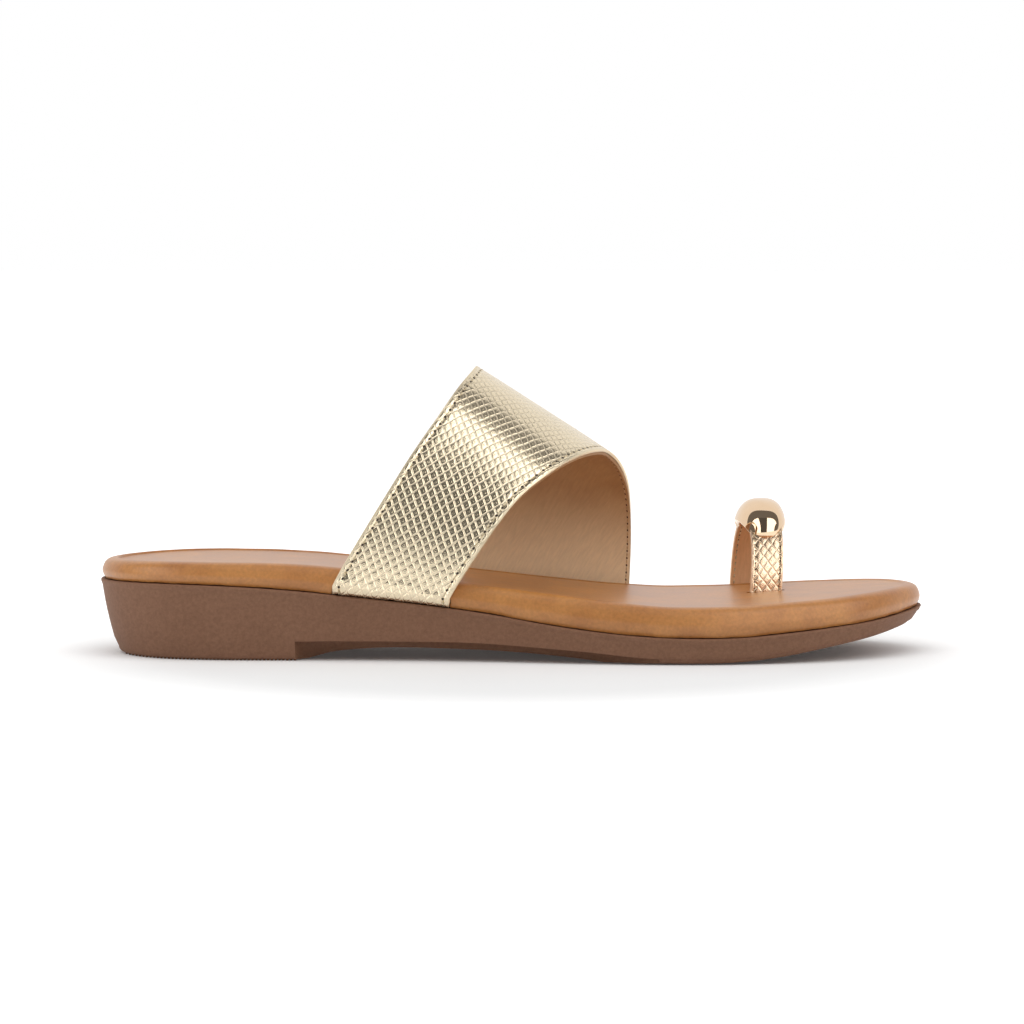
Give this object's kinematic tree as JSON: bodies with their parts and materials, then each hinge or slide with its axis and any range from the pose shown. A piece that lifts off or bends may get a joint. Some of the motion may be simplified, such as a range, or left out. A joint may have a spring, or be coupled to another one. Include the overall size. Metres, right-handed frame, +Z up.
{
  "type": "toe loop sandal",
  "caption": "Right-foot slip-on sandal with a low heel, padded footbed, broad slanting vamp strap and a beaded loop for the big toe.",
  "frame": {"origin": "on the floor under the middle of the heel, where heel_rest is", "axes": "+X forwards to the toe, +Y to the foot's inner (big toe) side, +Z up"},
  "size_m": [0.2564, 0.0924, 0.0888],
  "materials": {
    "sole_rubber": "matt moulded",
    "footbed_leather": "smooth, lightly waxed",
    "gold_snake_leather": "metallic, embossed with snake scales",
    "rose_snake_leather": "metallic, embossed with snake scales",
    "polished_gold": "polished"
  },
  "bodies": {
    "root": {"sole_unit": "sole_rubber", "footbed": "footbed_leather", "vamp_strap": "gold_snake_leather", "toe_loop": "rose_snake_leather", "toe_bead": "polished_gold"}
  },
  "joints": []
}
